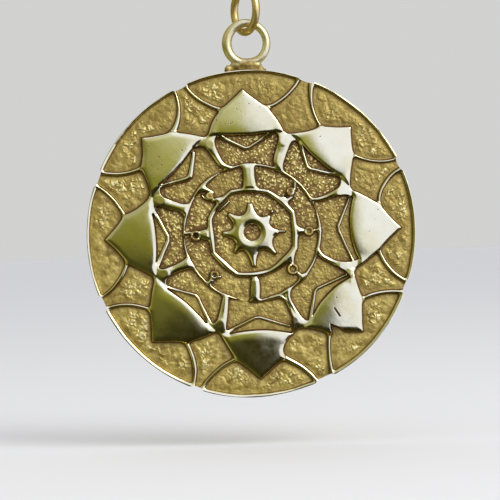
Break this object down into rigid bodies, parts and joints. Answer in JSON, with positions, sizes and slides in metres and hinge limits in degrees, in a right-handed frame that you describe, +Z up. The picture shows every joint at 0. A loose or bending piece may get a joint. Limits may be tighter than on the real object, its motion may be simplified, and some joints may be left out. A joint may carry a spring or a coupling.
{
  "type": "pendant",
  "caption": "Round cast medallion pendant with a raised star relief on its face, a soldered wire loop and a plain jump ring that it hangs from.",
  "frame": {"origin": "where the pendant is hung from: the underside of the top of the jump ring's wire", "axes": "+Z up, +X to the right as the face is seen, the face looks towards -Y"},
  "size_m": [0.033, 0.0046, 0.0415],
  "materials": {
    "cast_gold": "polished relief over crumbly matt floors",
    "ring_gold": "drawn wire, polished"
  },
  "bodies": {
    "hanger": {"jump_ring": "ring_gold"},
    "pendant": {"medallion": "cast_gold"}
  },
  "joints": [
    {"name": "swing", "type": "hinge", "parent": "hanger", "child": "pendant", "pos_m": [0, 0, -0.00308], "axis": [1, 0, 0], "range_deg": [-90, 90]}
  ]
}
